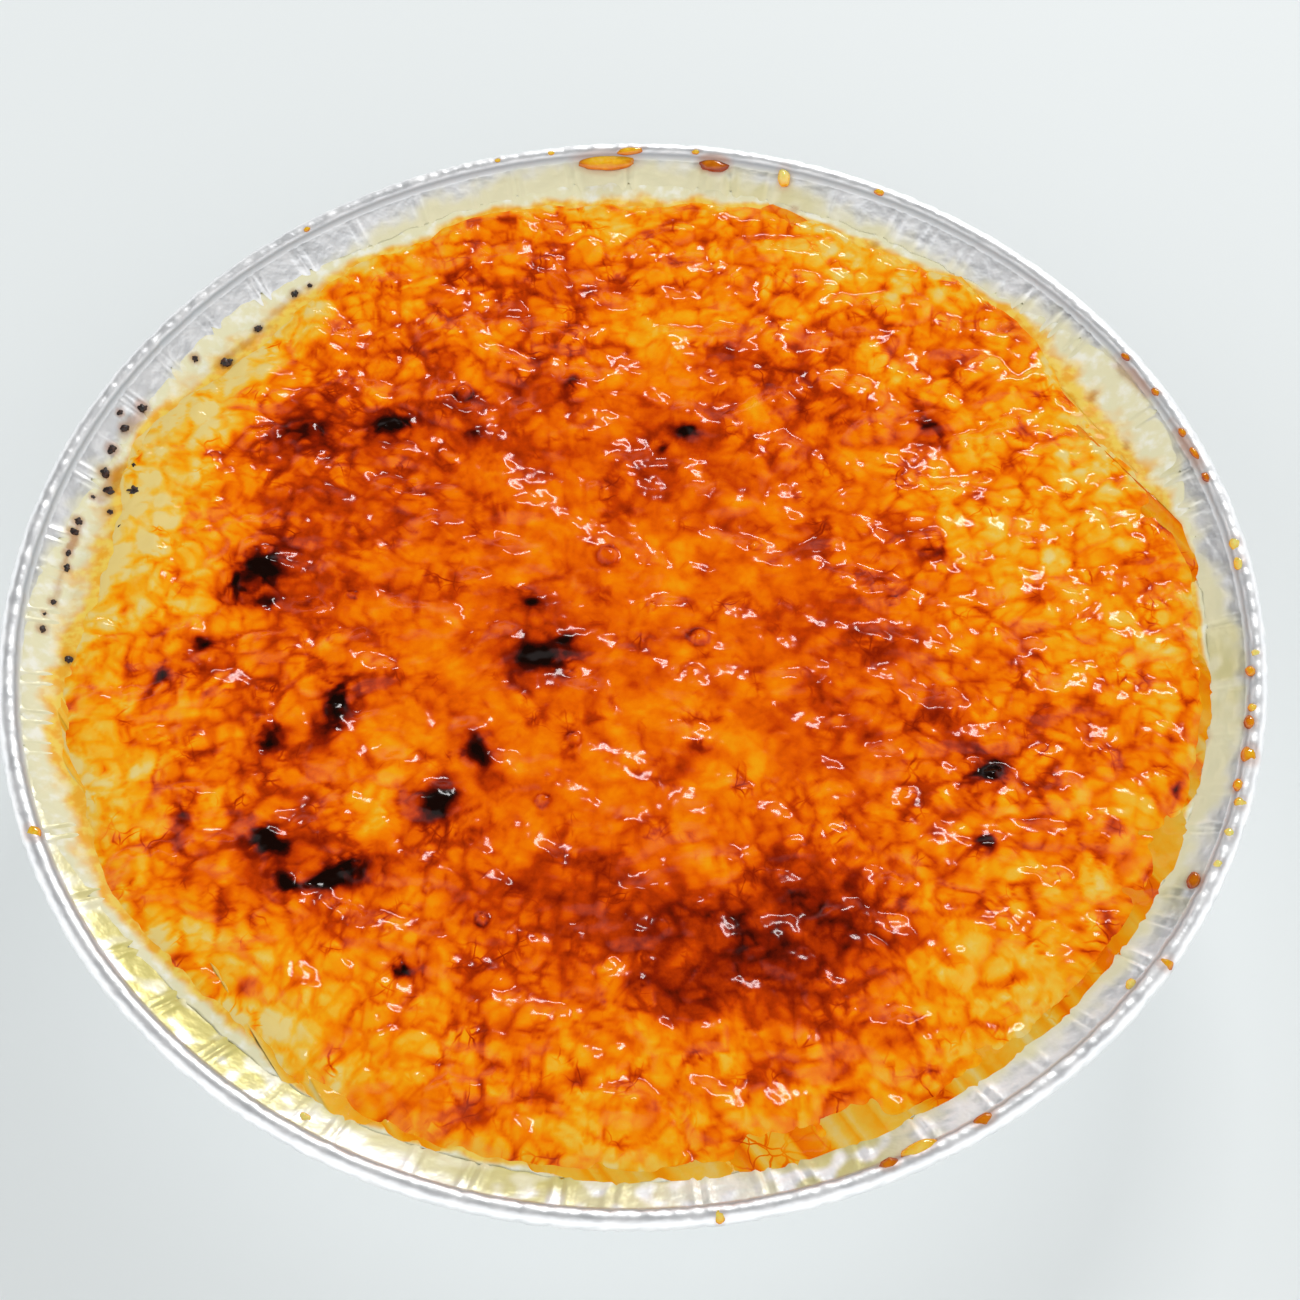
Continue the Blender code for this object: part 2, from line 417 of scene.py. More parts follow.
def shoulder_height(radius):
    """Height of the foil's upper skin between the wall and the groove."""
    radii = (WALL_TOP[0], SHOULDER_FOOT[0], SHOULDER_TOP[0])
    return np.interp(radius, radii, (WALL_TOP[1], SHOULDER_FOOT[1], SHOULDER_TOP[1]))


def crust_reach(angle):
    """Radius where the crust dives under the custard."""
    x, y = 30 * np.cos(angle), 30 * np.sin(angle)
    ragged = 0.4 * soft_noise(x, y, 2.5, 3) + 0.2 * soft_noise(x, y, 1.1, 4)
    return CRUST_REACH - around(angle, PALE_ARCS) + ragged


# ---------------------------------------------------------------- meshes


def write_piece(name, points, faces, node):
    """A mesh piece, from points in millimetres, that rides on the one body."""
    mesh = bpy.data.meshes.new(name)
    mesh.from_pydata((points * MM).tolist(), [], faces)
    mesh.shade_smooth()
    piece = bpy.data.objects.new(name, mesh)
    bpy.context.scene.collection.objects.link(piece)
    register(piece, node)
    return piece


def register(piece, node):
    """Put a piece on the one body, and hide the CAD node that it stands for."""
    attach(piece, "root")
    if node:
        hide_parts(node)


def store(piece, name, values):
    """Keep a number for each vertex, for the material to read."""
    layer = piece.data.attributes.new(name, "FLOAT", "POINT")
    layer.data.foreach_set("value", np.asarray(values, np.float32).ravel())


def ring_faces(rows, segments):
    """Quads between rows of points round the axis, with a flat face at each end."""
    grid = np.arange(rows * segments).reshape(rows, segments)
    beside = np.roll(grid, -1, axis=1)
    quads = np.stack([grid[:-1], beside[:-1], beside[1:], grid[1:]], -1).reshape(-1, 4)
    return quads.tolist() + [grid[0, ::-1].tolist(), grid[-1].tolist()]


def turned_piece(name, radius, height, angle, node):
    """A closed piece from rows of radius and height, bottom row first, over the angles."""
    points = np.stack([radius * np.cos(angle), radius * np.sin(angle), height], -1)
    return write_piece(name, points.reshape(-1, 3), ring_faces(*radius.shape), node)


# ---------------------------------------------------------------- node trees


class Nodes:
    """Short calls that build a shader's node tree. Values are sockets or numbers."""

    def __init__(self, tree):
        self.tree = tree

    def add(self, kind, values=(), **settings):
        node = self.tree.nodes.new(kind)
        for name, value in settings.items():
            setattr(node, name, value)
        for key, value in dict(values).items():
            self.feed(node.inputs[key], value)
        return node

    def feed(self, socket, value):
        if isinstance(value, bpy.types.NodeSocket):
            self.tree.links.new(value, socket)
        else:
            socket.default_value = value

    def math(self, operation, first, second):
        return self.add("ShaderNodeMath", {0: first, 1: second}, operation=operation).outputs[0]

    def plus(self, *values):
        total = values[0]
        for value in values[1:]:
            total = self.math("ADD", total, value)
        return total

    def times(self, *values):
        total = values[0]
        for value in values[1:]:
            total = self.math("MULTIPLY", total, value)
        return total

    def remap(self, value, low, high, to_low=0.0, to_high=1.0):
        """Smoothly from to_low, where value is low, to to_high, where it is high."""
        values = {"Value": value, "From Min": low, "From Max": high}
        values.update({"To Min": to_low, "To Max": to_high})
        return self.add("ShaderNodeMapRange", values, interpolation_type="SMOOTHSTEP").outputs[0]

    def vector(self, operation, first, second=(0, 0, 0)):
        return self.add("ShaderNodeVectorMath", {0: first, 1: second}, operation=operation).outputs[0]

    def scaled(self, vector, factor):
        node = self.add("ShaderNodeVectorMath", {0: vector, "Scale": factor}, operation="SCALE")
        return node.outputs[0]

    def noise(self, position, size, detail=2.0, roughness=0.5, at=0.0, output="Fac"):
        """Noise from 0 to 1 with features of this size. Another value of at gives another pattern."""
        moved = self.vector("ADD", position, (at, at * 0.7, at * 0.3))
        values = {"Vector": moved, "Scale": 1 / size, "Detail": detail, "Roughness": roughness}
        return self.add("ShaderNodeTexNoise", values).outputs[output]

    def cell_edges(self, position, size):
        """Distance to the nearest border between random cells of this size, in cells."""
        values = {"Vector": position, "Scale": 1 / size}
        settings = {"voronoi_dimensions": "2D", "feature": "DISTANCE_TO_EDGE"}
        return self.add("ShaderNodeTexVoronoi", values, **settings).outputs["Distance"]

    def warped(self, position, size, amount, at=0.0):
        """The position, pushed about by noise."""
        push = self.noise(position, size, at=at, output="Color")
        centred = self.vector("SUBTRACT", push, (0.5, 0.5, 0.5))
        return self.vector("ADD", position, self.scaled(centred, 2 * amount))

    def colour_mix(self, share, first, second):
        node = self.add("ShaderNodeMix", data_type="RGBA")
        sockets = (node.inputs[0], node.inputs[6], node.inputs[7])  # factor, A and B of its colours
        for socket, value in zip(sockets, (share, first, second)):
            if isinstance(value, tuple):
                value = (*value, 1.0)
            self.feed(socket, value)
        return node.outputs[2]

    def ramp(self, value, stops):
        node = self.add("ShaderNodeValToRGB", {0: value})
        points = node.color_ramp.elements
        for place, colour in stops[2:]:
            points.new(place)
        for point, (place, colour) in zip(points, stops):
            point.position = place
            point.color = (*colour, 1.0)
        return node.outputs[0]

    def bump(self, height, distance, strength=1.0):
        """The surface's normal, tilted as if the height stood out by this distance in millimetres."""
        values = {"Height": height, "Distance": distance * MM, "Strength": strength}
        return self.add("ShaderNodeBump", values).outputs[0]


def new_material(name):
    """A material's node tree, its Principled shader and the position in millimetres."""
    material = bpy.data.materials.new(name)
    material.use_nodes = True
    nodes = Nodes(material.node_tree)
    shader = material.node_tree.nodes["Principled BSDF"]
    place = nodes.add("ShaderNodeTexCoord").outputs["Object"]
    return material, nodes, shader, nodes.scaled(place, 1 / MM)


def attribute(nodes, name):
    """A number that store() kept on the mesh."""
    return nodes.add("ShaderNodeAttribute", attribute_name=name).outputs["Fac"]


def flat_position(nodes, position):
    """The position with its height dropped, so that relief doesn't shift a pattern."""
    return nodes.vector("MULTIPLY", position, (1, 1, 0))


# ---------------------------------------------------------------- the crust

# Caramel's colour by tone, from pale custard yellow to char.
CARAMEL_TONES = (
    (0.0, (0.84, 0.64, 0.22)),
    (0.12, (0.91, 0.53, 0.05)),
    (0.25, (0.97, 0.39, 0.006)),
    (0.40, (0.97, 0.225, 0.001)),
    (0.52, (0.87, 0.13, 0.0006)),
    (0.64, (0.63, 0.054, 0.0006)),
    (0.76, (0.28, 0.014, 0.0006)),
    (0.88, (0.06, 0.0035, 0.001)),
    (1.0, (0.008, 0.0024, 0.0014)),
)
DARK_RED = 0.66  # the tone that burnt sugar nears but, without char, hardly passes

# Brown hairlines: size of the cells whose borders they follow, width in cells, the crackedness
# where they start to show and where they are full, and the noise's place.
HAIRLINES = (
    (5.5, 0.030, 0.55, 1.25, 20),
    (2.4, 0.065, 0.50, 1.40, 60),
)
CRACK_TONE = 0.76

# The glaze's relief, which only its normals show.
RIPPLE_SIZE = 3.8
RIPPLE_HEIGHT = 2.0
WRINKLE_SIZE = 1.0
WRINKLE_SHARE = 0.06  # height of the wrinkles against the ripples


def disc_from_square(u, v):
    """Maps a square onto a disc of radius 1, with even spacing."""
    flip = np.abs(u) < np.abs(v)
    long, short = np.where(flip, v, u), np.where(flip, u, v)
    turn = math.pi / 4 * short / np.where(long == 0, 1, long)
    x, y = long * np.cos(turn), long * np.sin(turn)
    return np.where(flip, y, x), np.where(flip, x, y)


def spot(x, y, centre_x, centre_y, half_length, half_width, degrees):
    """Distance from an ellipse's centre, counted so that its edge is 1."""
    turn = math.radians(degrees)
    along = (x - centre_x) * math.cos(turn) + (y - centre_y) * math.sin(turn)
    across = (y - centre_y) * math.cos(turn) - (x - centre_x) * math.sin(turn)
    return np.hypot(along / half_length, across / half_width)


def char_mask(x, y):
    """How charred the sugar is: black cores that fade out through brown."""
    x, y = bent(x, y, 1.6, 0.35, 11)
    total = np.zeros_like(x)
    for cx, cy, half_length, half_width, degrees, darkness in CHARS:
        away = spot(x, y, cx, cy, half_length, half_width, degrees)
        core = 1 - smooth(away, 0.1, 1.15)
        halo = 1 - smooth(away, 0.6, 2.2)
        total = np.maximum(total, darkness * (0.50 * core + 0.24 * halo))
    return total


def burn_mask(x, y):
    """How far the sugar has browned beyond, or stayed short of, the usual orange."""
    bent_x, bent_y = bent(x, y, 6, 2.5, 23)
    total = 0.30 * soft_noise(bent_x, bent_y, 7, 21) + 0.42 * soft_noise(bent_x, bent_y, 3.2, 22)
    for cx, cy, radius, strength in BURNS:
        away = np.hypot(bent_x - cx, bent_y - cy) / radius
        total += strength * (1 - smooth(away, 0.25, 1.25))
    return total


def make_crust(material):
    """The sugar crust: a fine grid mapped onto a disc, with a hidden skirt and underside."""
    shape = bmesh.new()
    bmesh.ops.create_grid(shape, x_segments=CRUST_GRID, y_segments=CRUST_GRID, size=1)
    outline = [edge for edge in shape.edges if edge.is_boundary]
    skirt = bmesh.ops.extrude_edge_only(shape, edges=outline)["geom"]
    low_edges = [item for item in skirt if isinstance(item, bmesh.types.BMEdge) and item.is_boundary]
    low_points = [item for item in skirt if isinstance(item, bmesh.types.BMVert)]
    bmesh.ops.translate(shape, vec=(0, 0, -1), verts=low_points)
    bmesh.ops.holes_fill(shape, edges=low_edges, sides=0)
    bmesh.ops.recalc_face_normals(shape, faces=shape.faces)
    mesh = bpy.data.meshes.new("caramel_crust_looks")
    shape.to_mesh(mesh)
    shape.free()

    grid = np.empty(len(mesh.vertices) * 3)
    mesh.vertices.foreach_get("co", grid)
    grid = grid.reshape(-1, 3)
    below = grid[:, 2] < -0.5
    x, y = disc_from_square(grid[:, 0], grid[:, 1])
    angle = np.arctan2(y, x)
    share = np.hypot(x, y)
    reach = crust_reach(angle)
    # The outline's waves fade towards the middle.
    radius = share * (CRUST_REACH + (reach + CRUST_OVERLAP - CRUST_REACH) * smooth(share, 0.6, 1.0))
    x, y = radius * np.cos(angle), radius * np.sin(angle)
    inside = reach - radius
    # Lumps show most at the margins and on the right, where the glaze is thin.
    thin = radius + 8 * soft_noise(x, y, 9, 31) + np.maximum(0.35 * x, -0.15 * x)
    lumpy = 0.35 + 0.65 * smooth(thin, 18, 46)
    lump_x, lump_y = bent(*bent(x, y, 5, 1.0, 41), 1.6, 0.28, 43)
    far, border, chance = cells(lump_x, lump_y, LUMP_SIZE, 45)
    small_far, small_border, small_chance = cells(lump_x, lump_y, SMALL_LUMP_SIZE, 46)
    char = char_mask(x, y)
    burn = burn_mask(x, y)

    dome, small_dome = 1 - smooth(far, 0.0, 0.95), 1 - smooth(small_far, 0.0, 0.95)
    relief = (0.12 + 0.16 * lumpy) * dome + (0.01 + 0.15 * lumpy) * small_dome
    relief += 0.25 * soft_noise(x, y, 7, 32) + 0.02 * soft_noise(x, y, 1.3, 33) - 0.2
    for cx, cy, half_length, half_width, degrees, darkness in CHARS:
        away = spot(x, y, cx, cy, half_length * 1.3, half_width * 1.3, degrees)
        relief += 0.25 * darkness * (1 - smooth(away, 0.2, 1.2)) * (1 + 0.6 * soft_noise(x, y, 1.2, 14))
    bubble = np.zeros_like(x)
    for cx, cy, diameter in BUBBLES:
        away = np.hypot(x - cx, y - cy) / (diameter / 2)
        relief += 0.3 * diameter * np.sqrt(np.clip(1 - away**2, 0, 1))
        bubble += np.exp(-(((away - 1.1) / 0.3) ** 2))
    pale = np.clip(0.25 + around(angle, PALE_ARCS) / 2.5 + around(angle, THIN_ARCS), 0, 1)
    thickness = np.interp(inside, (-CRUST_OVERLAP, 0, 1.2, 5), (-0.4, 0.03, 0.26, CRUST_THICKNESS))
    height = CUSTARD_LEVEL + thickness + relief * smooth(inside, -0.4, 2.0)
    # The hidden edge ends inside the foil's thickness, and doesn't come out below it.
    bed = shoulder_height(radius)
    lowest = CUSTARD_LEVEL - CRUST_DEPTH
    height = np.where(below, np.maximum(lowest, bed - 0.12), np.maximum(height, bed - 0.09))
    points = np.stack([x, y, height], -1) * MM
    mesh.vertices.foreach_set("co", points.ravel())
    # The squeezed squares are split along their short diagonal, which keeps patterns free of streaks.
    shape = bmesh.new()
    shape.from_mesh(mesh)
    squares = [face for face in shape.faces if len(face.verts) == 4]
    bmesh.ops.triangulate(shape, faces=squares, quad_method="SHORT_EDGE")
    shape.to_mesh(mesh)
    shape.free()
    mesh.update()
    mesh.shade_smooth()
    mesh.materials.append(material)
    piece = bpy.data.objects.new("caramel_crust_looks", mesh)
    bpy.context.scene.collection.objects.link(piece)
    register(piece, "caramel_crust")

    tone = 0.46 - 0.05 * smooth(radius, 36, 50) + 0.26 * burn
    tone += 0.07 * soft_noise(*bent(x, y, 2.5, 1.2, 51), 1.6, 52)
    # Each lump has a random tone of its own and darker seams. Both are partly the sugar's own colour
    # and partly painted shade, in place of the shading that the lumps' relief would give.
    seam = 1 - smooth(border, 0.0, 0.35)
    small_seam = 1 - smooth(small_border, 0.0, 0.4)
    lump_tone_and_seam_shade = 0.14 * seam + 0.10 * small_seam
    lump_tone_and_seam_shade = lump_tone_and_seam_shade + 0.14 * (chance - 0.5) + 0.14 * (small_chance - 0.5) - 0.07
    tone += lumpy * lump_tone_and_seam_shade
    # The sugar is thin at the edge, so the custard's yellow shows through it.
    ragged = inside + 1.6 * soft_noise(x, y, 2.4, 53) + 0.6 * soft_noise(x, y, 0.9, 54)
    tone -= 0.15 * (1 - smooth(ragged, -0.6, 1.4)) + 0.20 * pale * (1 - smooth(ragged, 0.0, 8.0))
    # In some patches the seams are burnt brown, and they are also painted darker as shade at the lumps'
    # edges.
    cracked = 0.42 + 0.45 * soft_noise(x, y, 4, 55) + 0.35 * soft_noise(x, y, 1.8, 56) + 0.15 * burn
    tone += 0.25 * smooth(cracked + 0.2 * lumpy, 0.52, 1.05) * np.maximum(seam, 0.8 * small_seam)
    # Burnt sugar stays a clear dark red, and only char goes black.
    tone = np.where(tone > DARK_RED, DARK_RED + 0.35 * (tone - DARK_RED), tone)
    tone += 0.8 * char + 0.18 * bubble
    store(piece, "tone", tone)
    store(piece, "cracked", cracked + 0.15 * lumpy)


def caramel_material():
    """Burnt sugar, coloured by its tone, under a clear rippled glaze."""
    material, nodes, shader, place = new_material("caramel_looks")
    place = flat_position(nodes, place)
    cracked = attribute(nodes, "cracked")

    lines = None
    for size, width, first, full, at in HAIRLINES:
        bent_place = nodes.warped(nodes.warped(place, 4.0, 1.9, at), 1.5, 0.35, at)
        away = nodes.cell_edges(bent_place, size)
        line = nodes.remap(away, 0.15 * width, width, 1, 0)
        line = nodes.times(line, nodes.remap(cracked, first, full))
        lines = line if lines is None else nodes.math("MAXIMUM", lines, line)
    mottle = nodes.math("SUBTRACT", nodes.noise(place, 0.9, 3.0, 0.6, at=45), 0.5)
    tone = nodes.plus(attribute(nodes, "tone"), nodes.times(mottle, 0.16))
    cracked_tone = nodes.plus(tone, nodes.times(lines, nodes.math("SUBTRACT", CRACK_TONE, tone)))
    colour = nodes.ramp(nodes.math("MAXIMUM", tone, cracked_tone), CARAMEL_TONES)
    nodes.feed(shader.inputs["Base Color"], colour)

    shader.inputs["Roughness"].default_value = 0.4
    shader.inputs["Specular IOR Level"].default_value = 0.0
    shader.inputs["Coat Weight"].default_value = 0.3
    shader.inputs["Coat Roughness"].default_value = 0.12
    shader.inputs["Coat IOR"].default_value = 1.5
    # The glaze lies smoother than the sugar, in ripples of its own, and gives the highlights.
    stretched = nodes.vector("MULTIPLY", place, (0.8, 1.15, 1))
    ripples = nodes.noise(stretched, RIPPLE_SIZE, 0.0, at=57)
    wrinkles = nodes.noise(place, WRINKLE_SIZE, 0.0, at=90)
    glaze = nodes.bump(nodes.plus(ripples, nodes.times(wrinkles, WRINKLE_SHARE)), RIPPLE_HEIGHT)
    surface = nodes.add("ShaderNodeNewGeometry").outputs["Normal"]
    softer = nodes.vector("ADD", nodes.scaled(surface, 0.8), nodes.scaled(glaze, 0.2))
    nodes.feed(shader.inputs["Normal"], nodes.vector("NORMALIZE", softer))
    nodes.feed(shader.inputs["Coat Normal"], glaze)
    return material


# ---------------------------------------------------------------- the custard


def film_reach(angle):
    """Radius that the thin film at the custard's edge climbs to."""
    x, y = 40 * np.cos(angle), 40 * np.sin(angle)
    ragged = 0.3 * soft_noise(x, y, 3, 51) + 0.2 * soft_noise(x, y, 1.2, 52)
    return np.minimum(FILM_REACH + around(angle, FILM_ARCS) + ragged, SHOULDER_TOP[0] - 0.15)


def stain_mask(x, y):
    """How far sugar has browned the custard and foil round each bead and splash."""
    total = np.zeros(np.broadcast_shapes(x.shape, y.shape))
    for cx, cy, diameter in SPECKS:
        away = np.hypot(x - cx, y - cy) / diameter
        total = np.maximum(total, 0.6 * (1 - smooth(away, 0.35, 0.95)))
    for cx, cy, half_length, half_width, degrees, depth in SPLASHES:
        away = spot(x, y, cx, cy, half_length, half_width, degrees)
        total = np.maximum(total, (0.15 + 0.4 * depth) * (1 - smooth(away, 0.8, 1.5)))
    for cx, cy, half_length, half_width, degrees, strength in STAINS:
        away = spot(x, y, cx, cy, half_length, half_width, degrees)
        away += 0.3 * soft_noise(x, y, 0.9, 57)
        total = np.maximum(total, strength * (1 - smooth(away, 0.4, 1.2)))
    return total


def make_custard(material):
    """The custard: its top shows round the crust, and its edge climbs the foil as a thin film."""
    angle = np.linspace(0, 2 * math.pi, DISH_SEGMENTS, endpoint=False)
    film = film_reach(angle)
    side = [
        (BASE_RADIUS - 0.4, 0.6),
        (BASE_RADIUS + BASE_CORNER - 0.5, 1.5),
        (WALL_TOP[0] - 0.5, WALL_TOP[1]),
        (SHOULDER_FOOT[0] - 0.4, SHOULDER_FOOT[1] - 0.2),
    ]
    shares = np.linspace(1, 0, CUSTARD_ROWS)
    rows = len(side) + len(shares)
    radius = np.empty((rows, DISH_SEGMENTS))
    height = np.empty((rows, DISH_SEGMENTS))
    for row, (r, z) in enumerate(side):
        radius[row], height[row] = r, z
    blend = 0.15  # how softly the custard's flat top runs into its film on the foil
    for row, share in enumerate(shares, len(side)):
        radius[row] = CUSTARD_INNER + (film - CUSTARD_INNER) * share
        x, y = radius[row] * np.cos(angle), radius[row] * np.sin(angle)
        bed = shoulder_height(radius[row]) + 0.16 * smooth(film - radius[row], 0, 0.8) - 0.04
        skin = CUSTARD_LEVEL + 0.14 * soft_noise(x, y, 2.6, 53) + 0.06 * soft_noise(x, y, 1.1, 54)
        height[row] = blend * np.logaddexp(bed / blend, skin / blend)
    piece = turned_piece("custard_looks", radius, height, angle, "custard")
    store(piece, "film", smooth(radius, 52.0, 54.8))
    reach = crust_reach(angle)
    store(piece, "beyond_crust", np.clip((radius - reach) / np.maximum(film - reach, 1.0), 0, 1))
    store(piece, "stain", stain_mask(radius * np.cos(angle), radius * np.sin(angle)))
    piece.data.materials.append(material)


# The custard's margin, the part of it next to the crust, and its film on the foil, in two tones
# each. The stains are browned custard.
CUSTARD_CREAM = (0.82, 0.60, 0.18)
CUSTARD_WHITE = (0.82, 0.75, 0.48)
CUSTARD_AMBER = (0.88, 0.42, 0.03)
CUSTARD_YELLOW = (0.90, 0.62, 0.10)
FILM_COLOUR = (0.80, 0.76, 0.50)
FILM_WHITE = (0.90, 0.89, 0.76)
STAIN_COLOUR = (0.42, 0.13, 0.012)


def custard_material():
    """Golden next to the crust, then cream, and a whitish film where it climbs the foil."""
    material, nodes, shader, place = new_material("custard_looks")
    place = flat_position(nodes, place)
    film = attribute(nodes, "film")
    patches = nodes.noise(place, 3.0, 2.0, at=10)
    colour = nodes.colour_mix(nodes.remap(patches, 0.4, 0.65), CUSTARD_CREAM, CUSTARD_WHITE)
    pale = nodes.plus(film, nodes.times(nodes.math("SUBTRACT", patches, 0.5), 0.8))
    streaks = nodes.noise(place, 1.5, 3.0, at=20)
    film_colour = nodes.colour_mix(nodes.remap(streaks, 0.45, 0.7), FILM_COLOUR, FILM_WHITE)
    colour = nodes.colour_mix(nodes.remap(pale, 0.2, 0.9), colour, film_colour)
    ragged = nodes.times(nodes.math("SUBTRACT", patches, 0.5), 1.2)
    near_crust = nodes.remap(nodes.plus(attribute(nodes, "beyond_crust"), ragged), 0.1, 0.65, 1, 0)
    golden = nodes.colour_mix(nodes.remap(streaks, 0.4, 0.6), CUSTARD_AMBER, CUSTARD_YELLOW)
    colour = nodes.colour_mix(near_crust, colour, golden)
    colour = nodes.colour_mix(attribute(nodes, "stain"), colour, STAIN_COLOUR)
    nodes.feed(shader.inputs["Base Color"], colour)
    nodes.feed(shader.inputs["Roughness"], nodes.remap(film, 0.0, 0.8, 0.3, 0.5))
    shader.inputs["Specular IOR Level"].default_value = 0.15
    normal = nodes.bump(nodes.noise(place, 1.3, 1.0, at=15), 0.25, 0.6)
    nodes.feed(shader.inputs["Normal"], normal)
    return material


# ---------------------------------------------------------------- the dish


def dish_profile():
    """Rows of the dish from the middle of its inside, over the rim, to the middle of its underside:
    radius, height, and the share of the shoulder, bead and wall relief that each row takes."""
    rows = []

    def run(start, end, count, shoulder=0.0, wall=0.0):
        for step in range(count):
            share = step / count
            r = start[0] + (end[0] - start[0]) * share
            z = start[1] + (end[1] - start[1]) * share
            rows.append((r, z, shoulder, 0.0, wall))

    corner_in = (BASE_RADIUS + BASE_CORNER - FOIL, BASE_CORNER + FOIL)
    run((30, FOIL), (BASE_RADIUS, FOIL), 2)
    run((BASE_RADIUS, FOIL), corner_in, 2)
    run(corner_in, WALL_TOP, 3, wall=0.5)
    run(WALL_TOP, SHOULDER_FOOT, 3, wall=0.6)
    run(SHOULDER_FOOT, SHOULDER_TOP, 26, shoulder=1)
    for degrees in np.linspace(150, -130, 32):
        turn = math.radians(degrees)
        r = BEAD_CENTRE[0] + BEAD_HALF_WIDTH * math.cos(turn)
        z = BEAD_CENTRE[1] + BEAD_HALF_HEIGHT * math.sin(turn)
        rows.append((r, z, 0.0, 1.0, 0.0))
    under_top = (SHOULDER_TOP[0] - 0.3, SHOULDER_TOP[1] - 0.4)
    under_foot = (SHOULDER_FOOT[0] + FOIL, SHOULDER_FOOT[1] - FOIL)
    wall_out = (WALL_TOP[0] + FOIL, WALL_TOP[1] - FOIL)
    corner_out = (BASE_RADIUS + BASE_CORNER, BASE_CORNER)
    run(under_top, under_foot, 6, shoulder=1)
    run(under_foot, wall_out, 3, wall=0.8)
    run(wall_out, corner_out, 16, wall=1)
    run(corner_out, (BASE_RADIUS, 0), 3)
    run((BASE_RADIUS, 0), (30, 0), 3)
    return np.array(rows)


def shoulder_folds(angle, up_slope):
    """Folds pressed into the shoulder: flat facets with pairs of narrow ridges between them."""
    rng = np.random.default_rng(5)
    total = np.zeros(np.broadcast_shapes(angle.shape, up_slope.shape))
    where = 0.0
    while where < 360:
        slant = rng.uniform(-0.8, 0.8)
        away = (np.degrees(angle) - where + slant * (up_slope - 0.5) + 180) % 360 - 180
        depth = rng.uniform(0.12, 0.34)
        for side in (-0.55, 0.55):
            total += depth * np.exp(-(((away - side) / 0.28) ** 2))
        total -= 0.5 * depth * np.exp(-((away / 0.25) ** 2))
        where += rng.uniform(3.0, 8.0)
    return total


def make_dish(material):
    """The foil dish, with folds pressed into its shoulder, a crimped bead and a pleated wall."""
    rows = dish_profile()
    angle = np.linspace(0, 2 * math.pi, DISH_SEGMENTS, endpoint=False)[None, :]
    r0, z0, on_shoulder, on_bead, on_wall = (rows[:, k][:, None] for k in range(5))
    radius = r0 + 0 * angle
    height = z0 + 0 * angle
    arc = angle * RIM_RADIUS
    up_slope = np.clip((r0 - SHOULDER_FOOT[0]) / (SHOULDER_TOP[0] - SHOULDER_FOOT[0]), 0, 1)
    middle = np.sin(math.pi * np.clip(up_slope, 0.02, 0.98)) ** 0.6 * smooth(up_slope, 0.0, 0.45)
    crumple = 0.035 * (creases(arc, r0 * 2, 2.8, 61) - 0.4)
    crumple = crumple + 0.018 * (creases(arc, r0 * 3, 1.0, 63) - 0.4)
    crumple *= 1 + around(angle, CRUMPLED_ARCS)
    relief = on_shoulder * middle * (shoulder_folds(angle, up_slope) + crumple)
    # The underside follows the hollows but not the folds, so that no custard comes out below it.
    first_under = int(np.flatnonzero(on_bead[:, 0])[-1]) + 1
    relief[first_under:] = np.minimum(relief[first_under:], 0)
    height += relief

    # The bead is dented here and there.
    dents = 0.20 * np.maximum(creases(arc, 0 * r0, 2.6, 71) - 0.45, 0)
    dents = dents + 0.09 * soft_noise(arc, z0 * 2, 1.1, 72)
    shrink = 1 - on_bead * (np.abs(dents) + 0.03 * creases(arc, z0 * 3, 2.2, 73))
    radius = np.where(on_bead > 0, BEAD_CENTRE[0] + (radius - BEAD_CENTRE[0]) * shrink, radius)
    height = np.where(on_bead > 0, BEAD_CENTRE[1] + (height - BEAD_CENTRE[1]) * shrink, height)

    # Pleats run down the wall and fade at the base.
    fade = np.clip(z0 / WALL_TOP[1], 0, 1) ** 0.8
    pleats = 0.22 * np.cos(48 * angle) + 0.10 * soft_noise(arc, z0 * 0.2, 2.0, 81)
    radius += on_wall * fade * (pleats + 0.06 * creases(arc, z0, 3.0, 82))
    piece = turned_piece("foil_dish_looks", radius[::-1], height[::-1], angle, "foil_dish")
    x, y = r0 * np.cos(angle), r0 * np.sin(angle)
    ragged = 0.8 * soft_noise(x, y, 2.5, 91) + 0.4 * soft_noise(x, y, 0.9, 92)
    edge = SMEAR_REACH + around(angle, SMEAR_ARCS) + ragged
    # What is smeared on the foil stays off its underside.
    inner_skin = on_shoulder * (np.arange(len(rows)) < first_under)[:, None]
    film = inner_skin * (1 - smooth(r0, edge - 1.2, edge + 1.2))
    store(piece, "film", film[::-1])
    olive = around(angle, SYRUP_ARCS) * inner_skin * smooth(soft_noise(x, y, 2.0, 93) + 0.5, 0, 0.6)
    store(piece, "syrup", np.clip(olive, 0, 1)[::-1])
    store(piece, "stain", (np.maximum(inner_skin, on_bead) * stain_mask(x, y))[::-1])
    store(piece, "bead", (on_bead + 0 * angle)[::-1])
    # Painted shade: the groove between the shoulder and the bead is painted dull dark grey.
    groove = np.exp(-(((r0 - SHOULDER_TOP[0]) / 0.22) ** 2)) * (z0 > SHOULDER_TOP[1] - 0.3)
    store(piece, "groove", (groove + 0 * angle)[::-1])
    piece.data.materials.append(material)


FOIL_COLOUR = (0.90, 0.91, 0.92)
FOIL_BRIGHT = (0.97, 0.97, 0.97)
SYRUP_COLOUR = (0.55, 0.47, 0.06)
GROOVE_SHADE_COLOUR = (0.36, 0.39, 0.41)
METALLIC_CLEAN = 0.8
METALLIC_SMEARED = 0.15


